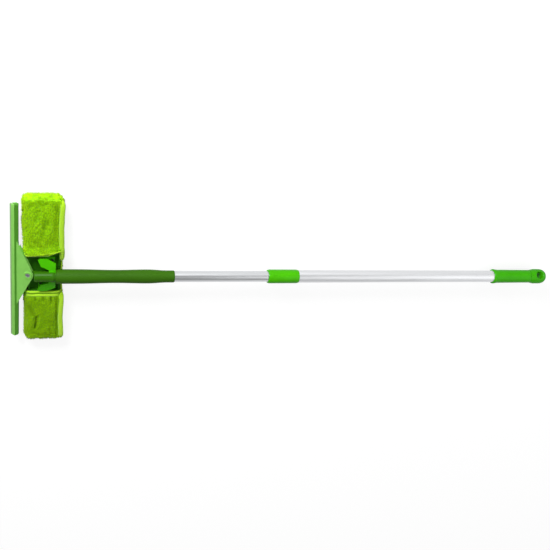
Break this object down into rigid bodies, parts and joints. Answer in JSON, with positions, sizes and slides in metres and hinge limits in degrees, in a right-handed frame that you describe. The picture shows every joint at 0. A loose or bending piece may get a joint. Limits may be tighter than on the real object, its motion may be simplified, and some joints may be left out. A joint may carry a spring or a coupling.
{
  "type": "window scrubber",
  "caption": "Telescopic window scrubber: microfibre sleeve on a cross bar with a squeegee in front, on a twist-lock metal pole with a hanging hole.",
  "frame": {"origin": "middle of the scrubber's working face", "axes": "+X along the pole from the head to its free end, +Y along the squeegee bar, +Z from the working face towards the back of the scrubber"},
  "size_m": [0.9951, 0.2798, 0.0441],
  "materials": {
    "lime_pile": "microfibre pile",
    "lime_binding": "woven tape",
    "light_green_plastic": "satin moulded",
    "dark_green_plastic": "satin moulded",
    "dark_green_grip": "soft touch",
    "bright_green_plastic": "glossy moulded",
    "blade_rubber": "smooth",
    "inner_tube_metal": "satin anodised",
    "outer_tube_metal": "satin anodised",
    "steel": "bright",
    "white_nylon": "plain",
    "black_nylon": "plain",
    "foam": "open cell"
  },
  "bodies": {
    "head": {"squeegee_rubber": "blade_rubber", "squeegee_frame": "light_green_plastic", "rubber_stops": "dark_green_plastic", "frame_screw": "steel", "frame_nut": "steel", "neck": "dark_green_plastic", "yoke": "bright_green_plastic", "ring_screw": "steel", "pad_bar": "dark_green_plastic", "bar_screws": "steel", "pad_foam": "foam", "scrubber_sleeve": "lime_pile", "sleeve_hem": "lime_binding", "inner_tube": "inner_tube_metal", "handle_grip": "dark_green_grip", "neck_rivet": "steel", "cam_plug": "black_nylon", "plug_rivet": "steel", "disc_screw": "steel"},
    "lock_cam": {"cam_ring": "white_nylon"},
    "tube_guide": {"guide_disc": "white_nylon"},
    "outer_pole": {"tube_collar": "bright_green_plastic", "collar_bush": "white_nylon", "outer_tube": "outer_tube_metal", "end_grip": "bright_green_plastic", "hanger_cap": "bright_green_plastic"}
  },
  "joints": [
    {"name": "pole_twist", "type": "hinge", "parent": "head", "child": "tube_guide", "pos_m": [0, 0, 0.03], "axis": [1, 0, 0], "range_deg": [-41, 0]},
    {"name": "pole_extend", "type": "slide", "parent": "tube_guide", "child": "outer_pole", "axis": [1, 0, 0], "range_m": [-0.16, 0.26]},
    {"name": "cam_turn", "type": "hinge", "parent": "head", "child": "lock_cam", "pos_m": [0, 0, 0.0291], "axis": [1, 0, 0], "range_deg": [-41, 0]}
  ],
  "couplings": [
    {"joint": "cam_turn", "follows": "pole_twist", "ratio": 1}
  ]
}
